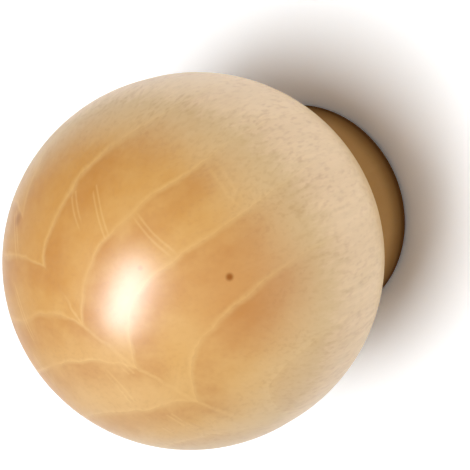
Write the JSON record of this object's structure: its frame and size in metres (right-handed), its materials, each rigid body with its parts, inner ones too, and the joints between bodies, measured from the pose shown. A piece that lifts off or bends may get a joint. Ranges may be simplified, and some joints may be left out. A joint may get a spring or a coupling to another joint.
{
  "type": "wooden ball knob",
  "caption": "Turned, clear-lacquered wooden ball knob with a short coved foot and a metal insert pressed into the foot for a screw from behind the panel.",
  "frame": {"origin": "centre of the foot's flat face, which lies against the panel", "axes": "+Z along the turning axis and the grain, out through the ball; +X and +Y square to it, in no special direction, because the knob is round"},
  "size_m": [0.035, 0.035, 0.041],
  "materials": {
    "lacquered_birch": "clear gloss lacquer",
    "brass": "turned"
  },
  "bodies": {
    "root": {"knob_body": "lacquered_birch", "threaded_insert": "brass"}
  },
  "joints": []
}
